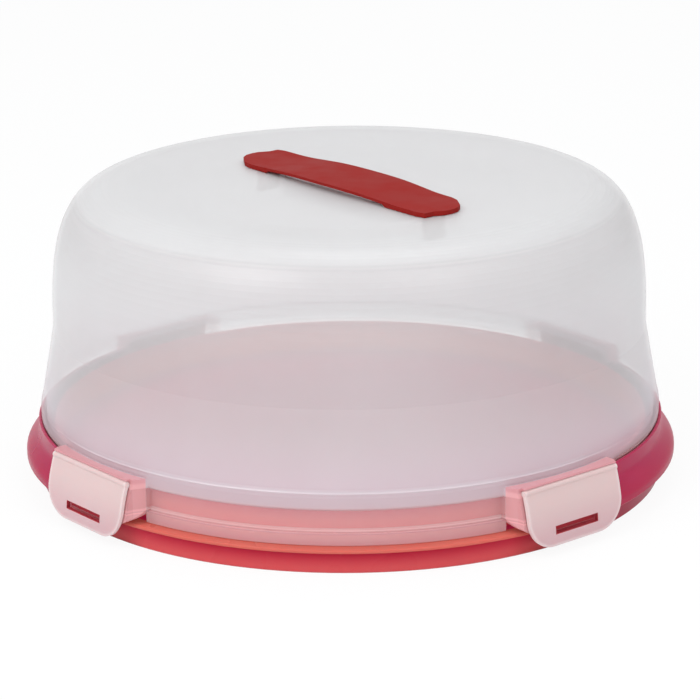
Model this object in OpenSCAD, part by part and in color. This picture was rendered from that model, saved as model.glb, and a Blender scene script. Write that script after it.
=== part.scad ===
// Round cake carrier: a low serving plate, a frosted hood that lifts off it,
// four swinging clips that hold the hood down, and a strap handle that pulls up.
// Millimetres. The front faces -Y, the plate stands on z = 0.

/* [Hood] */
// Radius of the hood's wall at its foot
hood_r = 168; // [140:0.1:220]
// Height of the hood's top edge
hood_top = 157.9; // [130:0.1:200]
// How far the hood's wall leans in up to its shoulder
hood_lean = 8; // [2:0.1:20]
// Width of the round shoulder
shoulder_w = 37; // [20:0.5:45]
// Height of the round shoulder
shoulder_h = 75.5; // [30:0.5:80]
// How square the shoulder is: 2 is an ellipse
shoulder_n = 2.86; // [2:0.01:3.5]
// How far the middle of the top is dished below its edge
dish = 2.4; // [1:0.1:6]
// Wall thickness of the hood
hood_wall = 2; // [1.5:0.1:3]
// Height of the skirt below the hood's wall
skirt_h = 19.7; // [14:0.1:30]
// How far the skirt steps in from the hood's wall
skirt_in = 1.8; // [1:0.1:3]
// Height of the thick hem at the hood's lower edge
hem_h = 6.6; // [4:0.1:9]

/* [Plate] */
// Height of the flat top of the lip
lip_top = 13.4; // [12.4:0.1:25]
// How far the lip stands out beyond the hood
lip_out = 4.5; // [3.5:0.1:5.5]
// Height of the lip's rounded edge
lip_band = 2; // [1.8:0.1:6]
// How far the bottom edge stands back from the lip
foot_in = 3.5; // [2.5:0.1:10]
// Height of the cake floor
floor_top = 12; // [9:0.1:12.5]
// Height of the rim that stands up inside the hood
rim_h = 17.8; // [8:0.1:30]
// Clearance between that rim and the hood's skirt
rim_play = 3.2; // [1:0.1:8]
// Wall thickness of the plate
plate_wall = 2.4; // [1.8:0.1:3]

/* [Grip ears] */
// How far an ear flares out from its inner wall
ear_out = 8.9; // [6:0.1:16]
// How far an ear's apron hangs below the lip's flat top
ear_hang = 1.4; // [1:0.1:9]
// Wall thickness of an ear's apron
ear_wall = 2.1; // [1.6:0.1:2.6]

/* [Clips] */
// Width of a clip
clip_w = 64; // [50:0.2:80]
// Thickness of a clip
clip_t = 2; // [1.6:0.1:2.6]
// How far the hinges of the clips stand out from the hood's wall
hinge_out = 4.7; // [4.2:0.1:7]
// How far a clip flares out from its hinge to its lower edge
clip_flare = 5.1; // [0:0.1:8]
// Radius of the clip's lower corners
clip_corner = 16; // [6:0.5:20]
// How far the clip reaches below the middle of its slot
tab_h = 8.2; // [6:0.1:10]
// Width of the slot
slot_w = 29; // [20:0.5:36]
// Height of the slot
slot_h = 4; // [3.2:0.1:5]

/* [Handle] */
// Length of the strap
strap_l = 166; // [130:1:180]
// Width of the strap at its middle
strap_w = 37.5; // [24:0.5:44]
// Thickness of the strap
strap_t = 1.5; // [1.2:0.1:2.2]
// Thickness of its end pads
pad_t = 2.4; // [2.2:0.1:4]
// How far the middle of the strap stands above its ends
strap_arch = 1.9; // [1:0.1:6]
// How much narrower the strap is at its end pads
pad_in = 3.5; // [0:0.5:6]
// Width of the tip of an end pad
tip_w = 16; // [10:0.5:20]
// How far the two corners of an end pad are staggered
tip_skew = 8; // [0:0.5:9]
// Distance of each leg from the strap's end
leg_inset = 14; // [12:0.5:20]
// Thickness of a leg
leg_t = 3; // [2:0.1:4]
// How far the handle pulls up
handle_travel = 10; // [6:0.5:14]
// Depth of the finger hollow under the strap
hollow_d = 8; // [5:0.5:12]

/* [Hidden] */
$fn = 96;

red = "#c8404e";
frost = "#e6dcdf";
strap_red = "#a03434";

gap = 0.3;          // clearance between bodies
clip_az = 45;       // clips sit on the diagonals

// Hood
hem_low = lip_top + gap;
skirt_top = hem_low + skirt_h;
skirt_r = hood_r - skirt_in;
hem_r = skirt_r + 1.2;
inner_r = skirt_r - hood_wall;
shoulder_r = hood_r - hood_lean;
deck_r = shoulder_r - shoulder_w;
deck = hood_top - dish;                   // flat middle of the top
dish_r = min(strap_l / 2 + 3, deck_r - 10);

// Plate
lip_r = hood_r + lip_out;
lip_low = lip_top - lip_band;
foot_r = lip_r - foot_in;
rim_r = inner_r - rim_play;
rim_top = lip_top + rim_h;
floor_low = floor_top - plate_wall;
channel_r = hem_r + 0.4;                 // inner face of an ear's upright wall
ear_r = channel_r + ear_out;
ear_top = skirt_top - 0.8;
ear_low = lip_top - ear_hang;

// Hinge: a bead along the clip's top edge lies in a groove under the hood's ledge
bead_r = clip_t / 2 + 0.6;
seat_r = bead_r + gap + 0.05;
hinge_d = hood_r + hinge_out;
boss_face = hinge_d - clip_t / 2 - 0.6;   // outer face of the hood's boss beside the hinge
hinge_z = skirt_top + 1.6;
ledge_top = hinge_z + seat_r + 0.9;
boss_w = clip_w / 2 + 1;
cheek = 4.5;                              // how far the boss spreads on its open side
slot_z = lip_top - 0.1;
clip_low = slot_z - tab_h;
ear_half = 90 - clip_az - asin((boss_w + 1) / boss_face);

// Strap
leg_gap = strap_l - 2 * leg_inset;
pad_w = strap_w - pad_in;
strap_low = deck + gap;                   // underside of the strap's ends
pad_l = leg_inset + 20;                   // length of an end pad
leg_w = tip_w - 3;
hook = 2.4;
slot_play = 0.5;
hollow_w = strap_w - 12;
hollow_l = leg_gap - 44;

function arc(r, a0, a1, n, c = [0, 0]) = [for (i = [0:n]) let (a = a0 + (a1 - a0) * i / n) c + r * [cos(a), sin(a)]];
function ellipse(rx, ry, n, c) = [for (i = [0:n]) let (a = 90 * i / n) c + [rx * cos(a), ry * sin(a)]];

// Turns a piece drawn at the front to its azimuth; the front is 0, the right is 90
module azimuth(a) rotate([0, 0, a]) children();

// Section in (distance from the centre, height), drawn out across the front
module bar(half_w) rotate([90, 0, -90]) linear_extrude(2 * half_w, center = true) children();

// Face seen from the front, in (across, height), drawn out from distance d0 to d1
module facing(d0, d1) translate([0, -d0, 0]) rotate([90, 0, 0]) linear_extrude(d1 - d0) children();

// Rectangle with its two lower corners rounded
module tongue(x0, x1, z0, z1, r) {
    polygon(concat([[x1, z1], [x0, z1]], arc(r, 180, 270, 12, [x0 + r, z0 + r]), arc(r, 270, 360, 12, [x1 - r, z0 + r])));
}

/* Plate */

module plate_section() {
    inner = rim_r - plate_wall;
    polygon(concat(
        [[0, floor_top], [0, floor_low], [rim_r, floor_low], [rim_r + 2, lip_top - plate_wall],
         [lip_r - 1.4 - plate_wall, lip_top - plate_wall], [foot_r - plate_wall, 0.6],
         [foot_r - plate_wall + 0.6, 0], [foot_r - 0.6, 0], [foot_r, 0.6], [lip_r - 1.4, lip_low - 0.2]],
        arc(0.8, -70, 0, 6, [lip_r - 0.8, lip_low + 0.8]),
        arc(0.8, 0, 90, 5, [lip_r - 0.8, lip_top - 0.8]),
        arc(1.2, 270, 180, 5, [rim_r + 1.2, lip_top + 1.2]),
        arc(plate_wall / 2, 0, 180, 8, [rim_r - plate_wall / 2, rim_top - plate_wall / 2]),
        arc(2, 0, -90, 6, [inner - 2, floor_top + 2])));
}

// Rolled-over rim: an upright wall beside the hood's skirt and an apron that flares down from it in an S
ear_knee = ear_low + 3;
ear_shoulder = ear_top - 6.5;
ear_upright = 1.7;      // thickness of its upright wall
function apron(t) = [ear_r - (ear_r - channel_r - ear_upright) * smooth(t), ear_knee + (ear_shoulder - ear_knee) * t];

module ear_section(filled = false) {
    w = ear_wall;
    r0 = channel_r;
    open_t = 0.55;      // the apron and the wall part below this share of the height
    polygon(concat([[r0, lip_top - 1.5], [r0, ear_top - 0.5], [r0 + 0.5, ear_top], [r0 + ear_upright - 0.5, ear_top],
                    [r0 + ear_upright, ear_top - 0.5]],
                   [for (i = [12:-1:0]) apron(i / 12)],
                   [[ear_r, ear_low + 0.5], [ear_r - 0.5, ear_low], [ear_r - w, ear_low]],
                   filled ? [] : [for (i = [0:8]) apron(open_t * i / 8) - [w, 0]],
                   filled ? [] : [[r0 + w, apron(open_t)[1] - 0.4]],
                   [[r0 + w, lip_top - 1.5]]));
}

// Wedge about the +X axis from angle a0 to a1
module wedge(a0, a1) {
    reach = ear_r * 1.5;
    linear_extrude(ear_top + 10) polygon([[0, 0], reach * [cos(a0), sin(a0)], 1.3 * reach * [cos((a0 + a1) / 2), sin((a0 + a1) / 2)],
                                          reach * [cos(a1), sin(a1)]]);
}

module ear() {
    end = 0.8;
    intersection() {
        rotate_extrude($fn = 240) ear_section();
        wedge(-ear_half, ear_half);
    }
    // end walls that close the apron
    for (a = [-ear_half, ear_half - end]) intersection() {
        rotate_extrude($fn = 240) ear_section(true);
        wedge(a, a + end);
    }
}

// Lug on the lip that a clip's slot drops over
module catch_lug() {
    z = slot_z - slot_h / 2 + 0.45;
    t = slot_h - 0.9;
    tip = clip_face(slot_z + slot_h / 2) - clip_t - 0.4;
    bar(slot_w / 2 - 0.7) polygon([[lip_r - 4, z - 1.5], [lip_r - 0.4, z - 1.5], [tip - 0.4, z], [tip, z + 0.5],
                                   [tip, z + t - 1], [tip - 1, z + t], [lip_r - 4, z + t]]);
}

module base_plate() {
    color(red) {
        rotate_extrude($fn = 240) plate_section();
        ear();
        rotate([0, 0, 180]) ear();
        for (a = [clip_az:90:360]) azimuth(a) catch_lug();
    }
}

/* Hood */

function smooth(t) = t * t * (3 - 2 * t);
function top_curve(drop) = [for (i = [0:10]) let (t = i / 10) [deck_r + (dish_r - deck_r) * t, hood_top - drop - dish * smooth(t)]];

// Superellipse quarter from the wall to the top
function shoulder(w, h, n) = [for (i = [0:n]) let (a = 90 * i / n)
    [deck_r + w * pow(cos(a), 2 / shoulder_n), hood_top - shoulder_h + h * pow(sin(a), 2 / shoulder_n)]];

function wall_outer() = concat(
    [[hem_r - 0.5, hem_low], [hem_r, hem_low + 0.5], [hem_r, hem_low + hem_h - 0.5], [hem_r - 0.5, hem_low + hem_h],
     [skirt_r, hem_low + hem_h + 0.2], [skirt_r, skirt_top - 1.2], [hood_r - 0.4, skirt_top - 0.5], [hood_r, skirt_top + 0.3],
     [hood_r + 0.1, skirt_top + 5.5], [hood_r - 0.2, skirt_top + 7.8], [hood_r - 0.9, skirt_top + 9.8]],
    shoulder(shoulder_w, shoulder_h, 24), top_curve(0), [[0, deck]]);

function wall_inner() = let (q = shoulder(shoulder_w - hood_wall, shoulder_h - hood_wall, 24)) concat(
    [[0, deck - hood_wall]], [for (p = [10:-1:0]) top_curve(hood_wall)[p]], [for (i = [23:-1:0]) q[i]],
    [[hood_r - 0.9 - hood_wall, skirt_top + 9.8], [hood_r - 0.9 - hood_wall, skirt_top + 1], [skirt_r - hood_wall, skirt_top - 1.5],
     [skirt_r - hood_wall, hem_low]]);

// Distance of a clip's outer face at height z: it leans out from the hinge and ends upright
function clip_face(z) = let (t = (hinge_z - z) / (hinge_z - clip_low))
    hinge_d + clip_t / 2 + clip_flare * (1 - pow(1 - max(0, min(1, t)), 2));

// The clip's face from the hinge down to z1, moved inwards
function clip_line(inwards, z1, n = 8) = [for (i = [0:n]) let (z = hinge_z + (z1 - hinge_z) * i / n) [clip_face(z) - inwards, z]];

// Boss that carries a clip: straight beside the ear, spread on the open side, its face set back from the clip
module boss_plan(grow) {
    w = boss_w + grow;
    front = clip_face(clip_low);
    back = inner_r - 15;
    polygon([[-w, -back], [-w, -front], [w, -front], [w + 1, -boss_face], [w + cheek, -skirt_r + 3.5], [w + cheek, -back]]);
}

module boss_block(grow, z0, z1, r) {
    w = boss_w + grow;
    face = clip_line(clip_t + 0.6 - grow, z0);
    intersection() {
        translate([0, 0, z0]) linear_extrude(z1 - z0) boss_plan(grow);
        facing(inner_r - 15, hinge_d + 20) tongue(-w, w + cheek, z0, z1 + 1, r);
        bar(boss_w + 10) polygon(concat([[inner_r - 15, z0 - 1], [inner_r - 15, z1 + 1], [boss_face + grow, z1 + 1]],
                                        face, [face[len(face) - 1] - [0, 1]]));
    }
}

module outside(r) difference() {
    translate([0, 0, -20]) cylinder(r = lip_r + 20, h = 80);
    translate([0, 0, -21]) cylinder(r = r, h = 82, $fn = 240);
}

// The ledge's roof over the hinge bead
module ledge() {
    d1 = hinge_d + 0.5;
    bar(clip_w / 2) polygon([[boss_face - 3, ledge_top], [boss_face - 3, hinge_z - seat_r - 2], [boss_face, hinge_z - seat_r - 2],
                             [boss_face, hinge_z - 1.6], [d1, hinge_z + 1.2], [d1, ledge_top - 0.5], [d1 - 0.5, ledge_top]]);
}

// On the four diagonals, each spread towards the front or the rear, away from the ear
module boss_set() {
    for (m = [0, 1], n = [0, 1]) mirror([m, 0, 0]) mirror([0, n, 0]) azimuth(clip_az) mirror([1, 0, 0]) children();
}

module strap_frame() azimuth(clip_az) rotate([0, 0, -90]) children();

module hollow_shape(grow, z0) {
    r = hollow_w / 2 + grow;
    l = hollow_l / 2 - hollow_w / 2;
    for (s = [-1, 1]) translate([s * l, 0, z0]) cylinder(r = r, h = deck + 5 - z0);
    translate([-l, -r, z0]) cube([2 * l, 2 * r, deck + 5 - z0]);
}

module lid_hood() {
    hollow_floor = deck - hollow_d;
    color(frost, 0.6) difference() {
        union() {
            rotate_extrude($fn = 240) polygon(concat(wall_outer(), wall_inner()));
            intersection() {
                boss_set() {
                    boss_block(0, hem_low, ledge_top, 12);
                    ledge();
                }
                outside(inner_r + 0.5);
            }
            intersection() {
                strap_frame() hollow_shape(hood_wall, hollow_floor - hood_wall);
                translate([0, 0, deck - 40]) cylinder(r = dish_r, h = 40);
            }
        }
        // hollow inside each boss, open below and to the inside
        intersection() {
            boss_set() boss_block(-hood_wall, hem_low - 14, ledge_top - hood_wall, 2);
            outside(inner_r - 1);
        }
        // notch over the plate's lug
        boss_set() facing(hem_r + 0.1, hinge_d + 8) translate([-slot_w / 2 - 1, 0]) square([slot_w + 2, slot_z + slot_h / 2 + 0.6]);
        boss_set() translate([0, -hinge_d, hinge_z]) rotate([0, 90, 0]) cylinder(r = seat_r, h = clip_w + 0.6, center = true);
        strap_frame() hollow_shape(0, hollow_floor);
        for (s = [-1, 1]) strap_frame() translate([s * leg_gap / 2, 0, deck - 8])
            cube([leg_t + 2 * slot_play, leg_w + 2 * slot_play, 40], center = true);
    }
}

/* Clips */

module clip() {
    outer = clip_line(0, clip_low);
    inner = clip_line(clip_t, clip_low);
    far = clip_face(clip_low) + 1;
    difference() {
        union() {
            intersection() {
                bar(clip_w / 2) polygon(concat(outer, [for (i = [len(inner) - 1:-1:0]) inner[i]]));
                facing(hinge_d - 5, far) tongue(-clip_w / 2, clip_w / 2, clip_low, hinge_z + 5, clip_corner);
            }
            translate([0, -hinge_d, hinge_z]) rotate([0, 90, 0]) cylinder(r = bead_r, h = clip_w, center = true);
        }
        facing(hinge_d - 5, far) translate([0, slot_z]) square([slot_w, slot_h], center = true);
    }
}

module clip_front_right() color(frost) azimuth(clip_az) clip();
module clip_front_left() color(frost) azimuth(-clip_az) clip();
module clip_rear_right() color(frost) azimuth(180 - clip_az) clip();
module clip_rear_left() color(frost) azimuth(clip_az - 180) clip();

/* Handle */

// One end of the strap's outline, from the near side's waist round the tip to the far side's
function strap_end() = let (l = strap_l / 2, p = l - pad_l, b = strap_w / 2, c = pad_w / 2, k = tip_skew / 2)
    concat([for (i = [1:6]) let (u = p * i / 6) [u, -c - (b - c) * cos(90 * i / 6)]],
           [[l - 12 + k, -c], [l - 7 + k, -c + 1.5], [l - 3, -c + 7.5], [l - 0.3, -tip_w / 2 + 4], [l, 0], [l - 1, tip_w / 2 - 3],
            [l - 4, tip_w / 2 + 1.5], [l - 11 - k / 2, c - 1.5], [l - 15 - k, c]],
           [for (i = [6:-1:0]) let (u = p * i / 6) [u, c + (b - c) * cos(90 * i / 6)]]);

module strap_outline() polygon(concat(strap_end(), [for (q = strap_end()) -q]));

// Side view of the strap: flat ends and an arched middle
function rise(x) = let (l = leg_gap / 2 - 6) abs(x) > l ? 0 : strap_arch * (1 - pow((1 - cos(180 * x / l)) / 2, 2));

module strap_side() {
    n = 40;
    l = strap_l / 2;
    top = strap_low + pad_t;
    pad = l - pad_l;
    polygon(concat([for (i = [-n:n]) let (x = l * i / n) [x, abs(x) > pad ? strap_low : top - strap_t + rise(x)]],
                   [for (i = [n:-1:-n]) let (x = l * i / n) [x, top + rise(x)]]));
}

module leg(s) {
    z0 = deck - hood_wall - handle_travel - leg_t - gap;
    translate([s * leg_gap / 2 - leg_t / 2, -leg_w / 2, z0]) cube([leg_t, leg_w, strap_low + 1 - z0]);
    translate([s * (leg_gap / 2 + hook / 2) - leg_t / 2, -leg_w / 2, z0]) cube([leg_t, leg_w, leg_t]);
}

module carry_handle() {
    color(strap_red) strap_frame() {
        intersection() {
            translate([0, 0, deck - 20]) linear_extrude(60) strap_outline();
            rotate([90, 0, 0]) linear_extrude(80, center = true) strap_side();
        }
        for (s = [-1, 1]) leg(s);
    }
}

base_plate();
lid_hood();
clip_front_right();
clip_front_left();
clip_rear_right();
clip_rear_left();
carry_handle();
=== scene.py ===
from math import cos, radians, sin

import bpy
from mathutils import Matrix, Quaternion, Vector

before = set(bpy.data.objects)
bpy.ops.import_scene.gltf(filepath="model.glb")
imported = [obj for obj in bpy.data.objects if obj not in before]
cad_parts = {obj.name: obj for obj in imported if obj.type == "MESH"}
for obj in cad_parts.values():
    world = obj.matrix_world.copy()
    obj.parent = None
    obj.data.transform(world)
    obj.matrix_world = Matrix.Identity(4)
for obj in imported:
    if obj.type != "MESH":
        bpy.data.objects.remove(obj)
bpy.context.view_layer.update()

# Camera, measured from the photograph: its place round the object, and where it looks
CAM_AZIMUTH = radians(5.3)
CAM_ELEVATION = radians(17.0)
CAM_DISTANCE = 1.581
CAM_AIM = Vector((0, 0, 0.075))
CAM_ROLL = radians(-0.5)
CAM_CLIP = 0.05, 50
FOCAL_PX, IMAGE_PX = 2910.7, 700
AIM_PX = (349.5, 328.9)
SENSOR_MM = 36

# Lamps: name, width, power and place. They point at one spot on the object
LAMPS = (("key", 1.2, 18, (-0.9, -1.1, 1.5)),
         ("fill", 1.2, 11, (1.0, -1.1, 1.6)),
         ("top", 1.0, 5, (0.1, 0.5, 1.8)))
LAMP_AIM = Vector((0, 0, 0.08))
WORLD_COLOR, WORLD_LIGHT = (0.95, 0.97, 1, 1), 0.64
FLOOR_COLOR, FLOOR_HALF, FLOOR_DROP = (0.88, 0.88, 0.88, 1), 6, 0.0002
# Share of the floor that looks plain white; the rest shows the object's shadow
FLOOR_WHITE = 0.92

# What follows is in metres, in the part's own frame: z is the height, r the distance from the axis
# and x the distance to the side, where the two ears are. A pair is where a change begins and ends.
# Plate
FOOT_TOP, LIP_LOW = 0.0010, 0.0114
LIP_R, LUG_R, RIM_R = 0.1726, 0.1730, 0.1650
LIP_DARKENS_X = 0.128, 0.146
EAR_END_X, EAR_R, EAR_FOOT, EAR_FOOT_IN = 0.140, 0.1676, 0.0118, 0.0136
EAR_SHADE_Z = 0.012, 0.030
CAKE_FLOOR_R, CAKE_FLOOR_Z, RIM_TOP_Z = (0.10, 0.158), (0.013, 0.016), (0.023, 0.031)

# Lid: its hem, then a clear band, then the haze, which begins lower on the inner skin than on the outer
# A painted shadow line under the hem's step, and a painted highlight line over it
HEM_TOP, HEM_SHADOW_LOW = 0.0203, 0.0192
HEM_HIGHLIGHT_Z, HEM_HIGHLIGHT_TOP = 0.0214, 0.0226
SKIN_R, INNER_SKIN_R, BOSS_R = (0.1650, 0.1655), (0.1653, 0.1658), 0.1687
HAZE_LOW, HAZE_BLEND = (0.0306, 0.0323), 0.0011
RIDGE_Z, RIDGE_HALF = 0.0413, 0.0009
SIDE_X, SIDE_RISE, SIDE_BLEND = (0.12, 0.155), 0.0012, 0.0022
LOW_HAZE_Z, UPPER_WALL_Z, DECK_Z = (0.04, 0.08), (0.10, 0.13), (0.149, 0.153)

# Clip: its lower edge, half its width, the radius of its lower corners, and its slot
CLIP_LOW, CLIP_HALF, CLIP_CORNER = 0.0051, 0.032, 0.016
SLOT_Z, SLOT_HALF_W, SLOT_HALF_H = 0.0133, 0.0147, 0.0022
CLIP_BEVEL, BEVEL_ANGLE = 0.0004, radians(35)

# Half the width of a sharp change of colour, and the part of a noise's range that is used
FINE = 0.0002
CLOUDS = 0.3, 0.7


def camera():
    data = bpy.data.cameras.new("camera")
    data.sensor_width = SENSOR_MM
    data.lens = SENSOR_MM * FOCAL_PX / IMAGE_PX
    data.shift_x = (IMAGE_PX / 2 - AIM_PX[0]) / IMAGE_PX
    data.shift_y = (AIM_PX[1] - IMAGE_PX / 2) / IMAGE_PX
    data.clip_start, data.clip_end = CAM_CLIP
    cam = bpy.data.objects.new("camera", data)
    bpy.context.scene.collection.objects.link(cam)
    level = cos(CAM_ELEVATION)
    back = Vector((sin(CAM_AZIMUTH) * level, -cos(CAM_AZIMUTH) * level, sin(CAM_ELEVATION)))
    cam.rotation_mode = "QUATERNION"
    cam.location = CAM_AIM + CAM_DISTANCE * back
    cam.rotation_quaternion = (-back).to_track_quat("-Z", "Y") @ Quaternion((0, 0, 1), CAM_ROLL)
    bpy.context.scene.camera = cam


class Shader:
    """A material's node tree, with short calls for the nodes used here."""

    def __init__(self, name):
        self.mat = bpy.data.materials.new(name)
        self.mat.use_nodes = True
        self.nodes, self.links = self.mat.node_tree.nodes, self.mat.node_tree.links
        self.nodes.clear()
        self.out = self.nodes.new("ShaderNodeOutputMaterial")
        self.place = self.nodes.new("ShaderNodeTexCoord").outputs["Object"]
        split = self.nodes.new("ShaderNodeSeparateXYZ")
        self.links.new(self.place, split.inputs[0])
        self.x, self.y, self.z = split.outputs

    def put(self, socket, value):
        if hasattr(value, "links"):
            self.links.new(value, socket)
        elif isinstance(value, tuple) and len(value) == 3 and socket.type == "RGBA":
            socket.default_value = (*value, 1)
        else:
            socket.default_value = value

    def math(self, operation, a, b=0.0, clamp=False):
        node = self.nodes.new("ShaderNodeMath")
        node.operation, node.use_clamp = operation, clamp
        self.put(node.inputs[0], a)
        self.put(node.inputs[1], b)
        return node.outputs[0]

    def plus(self, a, b, clamp=False):
        return self.math("ADD", a, b, clamp)

    def minus(self, a, b):
        return self.math("SUBTRACT", a, b)

    def times(self, a, b):
        return self.math("MULTIPLY", a, b)

    def size(self, a):
        return self.math("ABSOLUTE", a)

    def length(self, a, b):
        return self.math("SQRT", self.plus(self.times(a, a), self.times(b, b)))

    def ramp(self, value, low, high, a=0.0, b=1.0):
        """From a to b, smoothly, while the value goes from low to high."""
        node = self.nodes.new("ShaderNodeMapRange")
        node.interpolation_type = "SMOOTHSTEP"
        for key, v in (("Value", value), ("From Min", low), ("From Max", high), ("To Min", a), ("To Max", b)):
            self.put(node.inputs[key], v)
        return node.outputs["Result"]

    def edge(self, value, place, half=FINE, a=0.0, b=1.0):
        """From a to b in a sharp step."""
        return self.ramp(value, place - half, place + half, a, b)

    def band(self, low, mid, high):
        """1 at a height, fading to 0 below and above it."""
        return self.times(self.ramp(self.z, low, mid), self.ramp(self.z, mid, high, 1, 0))

    def mix(self, factor, a, b):
        node = self.nodes.new("ShaderNodeMix")
        node.data_type = "RGBA"
        self.put(node.inputs["Factor"], factor)
        self.put(node.inputs["A"], a)
        self.put(node.inputs["B"], b)
        return [s for s in node.outputs if s.type == "RGBA"][0]

    def noise(self, scale, detail, stretch=(1, 1, 1)):
        vector = self.nodes.new("ShaderNodeMapping")
        vector.inputs["Scale"].default_value = stretch
        self.links.new(self.place, vector.inputs["Vector"])
        node = self.nodes.new("ShaderNodeTexNoise")
        self.put(node.inputs["Scale"], scale)
        self.put(node.inputs["Detail"], detail)
        self.links.new(vector.outputs[0], node.inputs["Vector"])
        return node.outputs["Fac"]

    def bump(self, height, distance, strength, under=None):
        """A bump, laid over another one if that is given."""
        node = self.nodes.new("ShaderNodeBump")
        self.put(node.inputs["Height"], height)
        self.put(node.inputs["Distance"], distance)
        self.put(node.inputs["Strength"], strength)
        if under:
            self.links.new(under, node.inputs["Normal"])
        return node.outputs[0]

    def facing(self):
        """0 on a surface seen straight on, 1 where it turns away."""
        return self.nodes.new("ShaderNodeLayerWeight").outputs["Facing"]

    def plastic(self, color, roughness, **sockets):
        """The finished material, with more sockets of its shader given by name."""
        node = self.nodes.new("ShaderNodeBsdfPrincipled")
        self.put(node.inputs["Base Color"], color)
        self.put(node.inputs["Roughness"], roughness)
        for key, value in sockets.items():
            self.put(node.inputs[key.replace("_", " ")], value)
        self.links.new(node.outputs[0], self.out.inputs["Surface"])
        return self.mat


def plate_material():
    """Red plastic, lit under its skin: orange on the lip, wine red on the ears, with painted shade on the
    wall under the lip and painted light at its foot.
    """
    s = Shader("plate_red")
    r, side = s.length(s.x, s.y), s.size(s.x)
    cloud = s.noise(18, 3)

    # The wall is painted darker under the lip, which is painted shade, and lighter at the foot, which is
    # painted light.
    wall_painted_shading = s.mix(s.ramp(s.z, FOOT_TOP, LIP_LOW), (0.66, 0.092, 0.100), (0.46, 0.012, 0.040))
    lip = s.mix(s.edge(s.z, LIP_LOW, 0.0003), wall_painted_shading, (0.60, 0.136, 0.103))
    lip = s.mix(s.ramp(side, *LIP_DARKENS_X), lip, (0.38, 0.018, 0.060))
    ear = s.mix(s.ramp(s.z, *EAR_SHADE_Z), (0.39, 0.020, 0.068), (0.40, 0.022, 0.084))
    foot = s.edge(r, LIP_R, FINE, EAR_FOOT_IN, EAR_FOOT)
    beside_ears = s.edge(side, EAR_END_X, 0.001, 1, 0)
    ears = s.times(s.edge(r, EAR_R), s.ramp(s.z, foot, s.plus(foot, 0.0003)))
    ears = s.times(ears, s.minus(1.0, beside_ears))
    outside = s.mix(ears, lip, ear)
    outside = s.mix(s.times(s.edge(r, LUG_R), beside_ears), outside, (0.42, 0.028, 0.045))

    inner = s.mix(s.ramp(r, *CAKE_FLOOR_R), (0.56, 0.012, 0.095), (0.62, 0.014, 0.105))
    # The rim is painted lighter towards its foot: painted light where shade falls under the lid.
    rim_painted_light = s.mix(s.ramp(s.z, *RIM_TOP_Z), (0.84, 0.15, 0.13), (0.66, 0.070, 0.095))
    inner = s.mix(s.ramp(s.z, *CAKE_FLOOR_Z), inner, rim_painted_light)
    color = s.mix(s.edge(r, RIM_R, 0.0005), inner, outside)
    color = s.mix(s.times(cloud, 0.08), color, (0.80, 0.16, 0.16))
    grain = s.bump(s.noise(900, 2), 0.00003, 0.6)
    return s.plastic(color, s.ramp(cloud, *CLOUDS, 0.24, 0.34), Specular_IOR_Level=0.07, Normal=grain,
                     Subsurface_Weight=0.25, Subsurface_Scale=0.006, Subsurface_Radius=(1.0, 0.15, 0.15))


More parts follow.
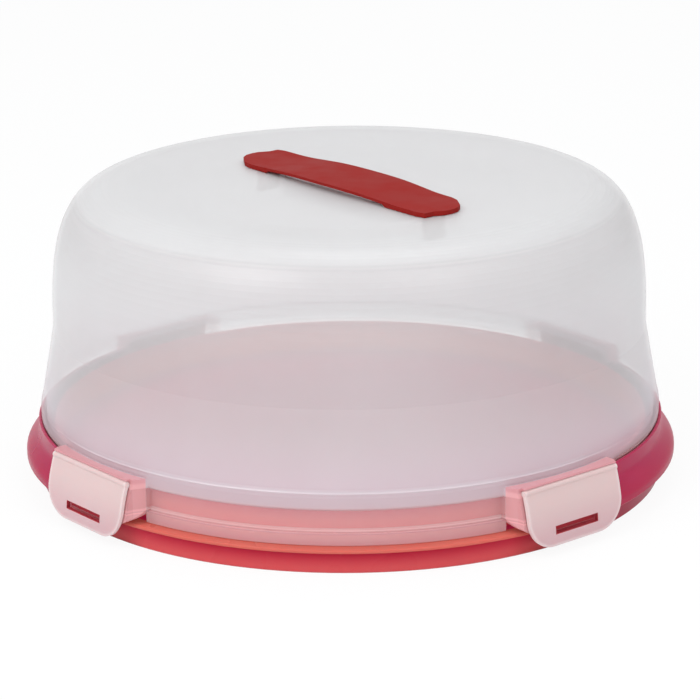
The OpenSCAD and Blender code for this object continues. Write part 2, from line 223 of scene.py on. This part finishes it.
def frosted_lid_material():
    """Milky see-through plastic: its haze hides more of what is far behind it than of what is close."""
    s = Shader("frosted_lid")
    r = s.length(s.x, s.y)
    side = s.ramp(s.size(s.x), *SIDE_X)
    cloud = s.noise(9, 3, (1, 1, 0.5))
    boss = s.edge(r, BOSS_R, 0.0003)
    # A painted shadow line under the hem's step, and a painted highlight line over it
    hem_painted_shadow = s.band(HEM_SHADOW_LOW, HEM_TOP - 0.0004, HEM_TOP)
    hem_painted_highlight = s.band(HEM_TOP, HEM_HIGHLIGHT_Z, HEM_HIGHLIGHT_TOP)
    # The ridge is a real bead, drawn by a bump and lower roughness; its denser veil at the front is a painted
    # highlight.
    ridge_and_painted_highlight = s.band(RIDGE_Z - RIDGE_HALF, RIDGE_Z, RIDGE_Z + RIDGE_HALF)
    ridge_and_painted_highlight = s.times(ridge_and_painted_highlight, s.minus(1.0, side))

    start = s.plus(s.ramp(r, *SKIN_R, *HAZE_LOW), s.times(side, SIDE_RISE))
    end = s.plus(s.plus(start, HAZE_BLEND), s.times(side, SIDE_BLEND))
    above = s.ramp(s.z, start, end)
    clear_band = s.ramp(s.z, HEM_TOP - 0.0002, HEM_TOP + 0.0004, 0.33, 0.25)
    veil = s.ramp(above, 0, 1, clear_band, s.ramp(s.z, *LOW_HAZE_Z, 0.41, 0.34))
    for more in (s.ramp(s.z, *UPPER_WALL_Z, 0.0, 0.05), s.ramp(s.z, *DECK_Z, 0.0, 0.18),
                 s.ramp(cloud, *CLOUDS, -0.015, 0.015), s.times(s.math("POWER", s.facing(), 4.0), 0.22),
                 s.times(s.plus(hem_painted_shadow, hem_painted_highlight), 0.14), s.times(ridge_and_painted_highlight, 0.22)):
        veil = s.plus(veil, more)
    veil = s.plus(veil, s.times(boss, 0.22), clamp=True)

    haze = s.mix(s.ramp(s.z, 0.035, 0.075), (0.835, 0.800, 0.850), (0.840, 0.860, 0.868))
    # Up high the haze is painted darker: painted shade that evens out the light from above.
    haze = s.mix(s.ramp(s.z, 0.10, 0.15), haze, (0.725, 0.732, 0.734))
    # Low on the inner skin the haze is painted darker: painted shade that evens out the light falling there.
    inner_band_painted_shade = s.times(s.ramp(r, *INNER_SKIN_R, 1, 0), s.ramp(s.z, 0.037, 0.044, 1, 0))
    haze = s.mix(inner_band_painted_shade, haze, (0.62, 0.585, 0.60))
    haze = s.mix(s.times(side, s.ramp(s.z, 0.036, 0.050, 1, 0)), haze, (0.74, 0.56, 0.62))
    warm = s.mix(s.ramp(s.z, 0.014, 0.024), (0.86, 0.66, 0.66), (0.84, 0.60, 0.62))
    color = s.mix(above, warm, haze)
    color = s.mix(hem_painted_shadow, color, (0.50, 0.33, 0.37))
    color = s.mix(hem_painted_highlight, color, (0.95, 0.80, 0.80))
    # The boss's salmon tint stands in for the red seen through it; its lower cheeks are painted lighter,
    # which is painted light where less lamp light falls.
    boss_color_and_painted_light = s.mix(s.ramp(s.z, 0.0345, 0.0365), (0.96, 0.51, 0.53), (0.82, 0.39, 0.42))
    color = s.mix(boss, color, boss_color_and_painted_light)

    rough = s.minus(s.ramp(cloud, *CLOUDS, 0.30, 0.38), s.times(ridge_and_painted_highlight, 0.16))
    raised = s.bump(ridge_and_painted_highlight, 0.0005, 0.7)
    grain = s.bump(s.noise(1400, 2), 0.00004, 0.5, raised)
    return s.plastic(color, rough, Specular_IOR_Level=0.6, Normal=grain, Alpha=veil)


def clip_material():
    """Milky moulding that the red behind it tints, with paler edges and a darker foot."""
    s = Shader("clip_frost")
    cloud = s.noise(40, 3)
    # The clips stand on the diagonals, so this is the distance from a clip's middle line
    across = s.size(s.times(s.minus(s.size(s.x), s.size(s.y)), cos(radians(45))))
    over_x = s.math("MAXIMUM", s.minus(across, CLIP_HALF - CLIP_CORNER), 0.0)
    over_z = s.math("MAXIMUM", s.minus(CLIP_LOW + CLIP_CORNER, s.z), 0.0)
    edge = s.ramp(s.length(over_x, over_z), CLIP_CORNER - 0.0020, CLIP_CORNER - 0.0006)
    color = s.mix(s.ramp(s.z, 0.005, 0.030), (0.67, 0.43, 0.46), (0.74, 0.55, 0.54))
    color = s.mix(s.times(cloud, 0.22), color, (0.80, 0.63, 0.60))
    color = s.mix(s.times(edge, 0.55), color, (0.86, 0.72, 0.71))
    # The slot's walls are painted dark red: painted shade in the slot.
    in_width = s.ramp(across, SLOT_HALF_W, SLOT_HALF_W + 0.0001, 1, 0)
    in_height = s.ramp(s.size(s.minus(s.z, SLOT_Z)), SLOT_HALF_H, SLOT_HALF_H + 0.0001, 1, 0)
    color = s.mix(s.times(in_width, in_height), color, (0.42, 0.040, 0.055))
    grain = s.bump(s.noise(1600, 2), 0.00003, 0.5)
    return s.plastic(color, s.ramp(cloud, *CLOUDS, 0.36, 0.46), Specular_IOR_Level=0.35, Normal=grain,
                     Alpha=0.93, Subsurface_Weight=0.3, Subsurface_Scale=0.004,
                     Subsurface_Radius=(1.0, 0.5, 0.5))


def strap_material():
    """Matt brick red with a fine moulded grain."""
    s = Shader("handle_red")
    cloud = s.noise(60, 4)
    color = s.mix(cloud, (0.255, 0.012, 0.010), (0.295, 0.018, 0.014))
    grain = s.bump(s.noise(1500, 3), 0.00006, 0.7)
    return s.plastic(color, s.ramp(cloud, *CLOUDS, 0.50, 0.62), Specular_IOR_Level=0.06, Normal=grain)


def area_light(name, size, power, place):
    data = bpy.data.lights.new(name, "AREA")
    data.shape, data.size, data.energy = "DISK", size, power
    lamp = bpy.data.objects.new(name, data)
    bpy.context.scene.collection.objects.link(lamp)
    lamp.location = place
    lamp.rotation_mode = "QUATERNION"
    lamp.rotation_quaternion = (LAMP_AIM - Vector(place)).to_track_quat("-Z", "Y")


def seen_rays(nodes, links):
    """1 for the rays that see the background: from the camera, off gloss and through clear parts."""
    path = nodes.new("ShaderNodeLightPath")
    total = path.outputs["Is Camera Ray"]
    for key in ("Is Glossy Ray", "Is Transmission Ray"):
        either = nodes.new("ShaderNodeMath")
        either.operation = "MAXIMUM"
        links.new(total, either.inputs[0])
        links.new(path.outputs[key], either.inputs[1])
        total = either.outputs[0]
    return total


def blend(nodes, links, share, first, second, out):
    """Shows the second shader by a share of the light, and the first by the rest."""
    mix = nodes.new("ShaderNodeMixShader")
    links.new(share, mix.inputs["Fac"])
    links.new(first.outputs[0], mix.inputs[1])
    links.new(second.outputs[0], mix.inputs[2])
    links.new(mix.outputs[0], out.inputs["Surface"])


def studio():
    """Soft light from all round and three lamps, in front of plain white."""
    world = bpy.data.worlds.new("studio")
    bpy.context.scene.world = world
    world.use_nodes = True
    nodes, links = world.node_tree.nodes, world.node_tree.links
    nodes.clear()
    out = nodes.new("ShaderNodeOutputWorld")
    soft = nodes.new("ShaderNodeBackground")
    soft.inputs["Color"].default_value = WORLD_COLOR
    soft.inputs["Strength"].default_value = WORLD_LIGHT
    white = nodes.new("ShaderNodeBackground")
    blend(nodes, links, seen_rays(nodes, links), soft, white, out)
    for lamp in LAMPS:
        area_light(*lamp)


def floor():
    """A pale floor that looks white, with a faint share of the object's shadow left on it."""
    mesh = bpy.data.meshes.new("floor")
    s = FLOOR_HALF
    mesh.from_pydata([(-s, -s, 0), (s, -s, 0), (s, s, 0), (-s, s, 0)], [], [(0, 1, 2, 3)])
    ob = bpy.data.objects.new("floor", mesh)
    ob.location.z = -FLOOR_DROP
    bpy.context.scene.collection.objects.link(ob)
    mat = bpy.data.materials.new("floor")
    mat.use_nodes = True
    nodes, links = mat.node_tree.nodes, mat.node_tree.links
    nodes.clear()
    out = nodes.new("ShaderNodeOutputMaterial")
    body = nodes.new("ShaderNodeBsdfDiffuse")
    body.inputs["Color"].default_value = FLOOR_COLOR
    glow = nodes.new("ShaderNodeEmission")
    share = nodes.new("ShaderNodeMath")
    share.operation = "MULTIPLY"
    share.inputs[1].default_value = FLOOR_WHITE
    links.new(seen_rays(nodes, links), share.inputs[0])
    blend(nodes, links, share.outputs[0], body, glow, out)
    mesh.materials.append(mat)


def soften(node):
    """Rounds the sharp edges of a moulding."""
    bevel = node.modifiers.new("soft edges", "BEVEL")
    bevel.width, bevel.segments = CLIP_BEVEL, 2
    bevel.limit_method, bevel.angle_limit = "ANGLE", BEVEL_ANGLE
    bevel.harden_normals = True
    bevel.use_clamp_overlap = True


camera()
studio()
floor()

PLATE, LID, CLIP, STRAP = plate_material(), frosted_lid_material(), clip_material(), strap_material()
LOOKS = {"base_plate": PLATE, "lid_hood": LID, "carry_handle": STRAP}
for name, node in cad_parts.items():
    node.data.materials.clear()
    node.data.materials.append(LOOKS.get(name, CLIP))
    if name.startswith("clip"):
        soften(node)

bpy.context.scene.view_settings.view_transform = "Standard"
